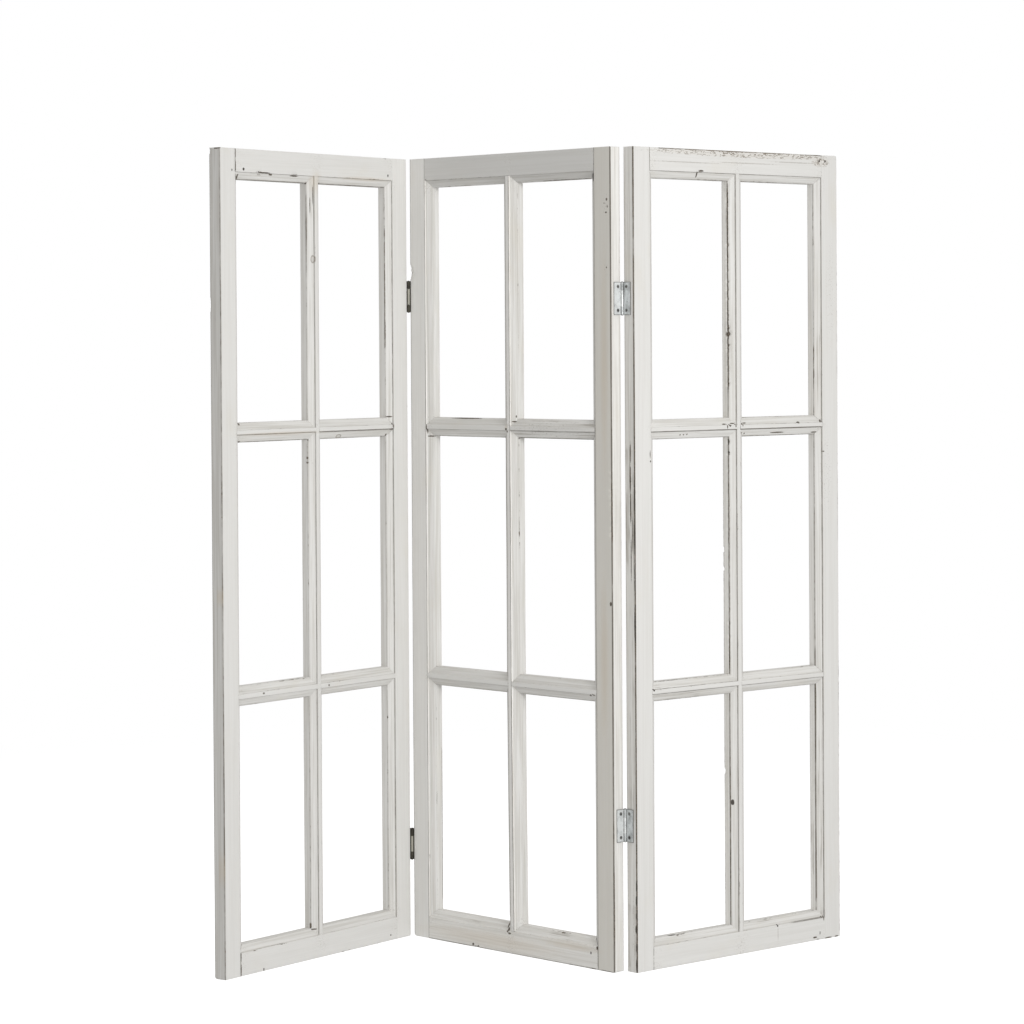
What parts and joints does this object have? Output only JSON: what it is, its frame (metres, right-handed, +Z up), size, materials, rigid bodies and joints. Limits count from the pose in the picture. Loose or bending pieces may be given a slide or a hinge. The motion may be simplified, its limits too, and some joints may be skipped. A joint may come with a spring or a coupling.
{
  "type": "room divider",
  "caption": "Folding room divider of white painted timber window frames with open panes, moulded glazing bars and steel butt hinges; it stands on the floor in a zigzag.",
  "frame": {"origin": "on the floor, under the middle of the box around the folded row", "axes": "+Z up; +X along the row, to the right for someone facing the moulded fronts; +Y away from that person"},
  "size_m": [1.3228, 0.511, 1.7],
  "materials": {
    "painted_wood": "matt off-white paint, brushed and worn through at the edges",
    "dowel_wood": "painted over with the frame",
    "zinc_plate": "zinc plated, satin",
    "hinge_pin": "zinc plated, dulled",
    "screws": "zinc plated, cross recess"
  },
  "bodies": {
    "middle_panel": {"middle_left_stile": "painted_wood", "middle_right_stile": "painted_wood", "middle_top_rail": "painted_wood", "middle_bottom_rail": "painted_wood", "middle_upright_bar": "painted_wood", "middle_upper_left_bar": "painted_wood", "middle_upper_right_bar": "painted_wood", "middle_lower_left_bar": "painted_wood", "middle_lower_right_bar": "painted_wood", "middle_dowels": "dowel_wood", "left_hinge_upper_tongue_leaf": "zinc_plate", "left_hinge_lower_tongue_leaf": "zinc_plate", "right_hinge_upper_tongue_leaf": "zinc_plate", "right_hinge_lower_tongue_leaf": "zinc_plate", "middle_panel_screws": "screws"},
    "left_panel": {"left_left_stile": "painted_wood", "left_right_stile": "painted_wood", "left_top_rail": "painted_wood", "left_bottom_rail": "painted_wood", "left_upright_bar": "painted_wood", "left_upper_left_bar": "painted_wood", "left_upper_right_bar": "painted_wood", "left_lower_left_bar": "painted_wood", "left_lower_right_bar": "painted_wood", "left_dowels": "dowel_wood", "left_hinge_upper_fork_leaf": "zinc_plate", "left_hinge_upper_pin": "hinge_pin", "left_hinge_lower_fork_leaf": "zinc_plate", "left_hinge_lower_pin": "hinge_pin", "left_panel_screws": "screws"},
    "right_panel": {"right_left_stile": "painted_wood", "right_right_stile": "painted_wood", "right_top_rail": "painted_wood", "right_bottom_rail": "painted_wood", "right_upright_bar": "painted_wood", "right_upper_left_bar": "painted_wood", "right_upper_right_bar": "painted_wood", "right_lower_left_bar": "painted_wood", "right_lower_right_bar": "painted_wood", "right_dowels": "dowel_wood", "right_hinge_upper_fork_leaf": "zinc_plate", "right_hinge_upper_pin": "hinge_pin", "right_hinge_lower_fork_leaf": "zinc_plate", "right_hinge_lower_pin": "hinge_pin", "right_panel_screws": "screws"}
  },
  "joints": [
    {"name": "left_fold", "type": "hinge", "parent": "middle_panel", "child": "left_panel", "pos_m": [-0.2715, 0.23642, 0.801], "axis": [0, 0, 1], "range_deg": [-99.5, 80.5]},
    {"name": "right_fold", "type": "hinge", "parent": "middle_panel", "child": "right_panel", "pos_m": [0.18123, -0.18414, 0.845], "axis": [0, 0, 1], "range_deg": [-87.5, 92.5]}
  ]
}
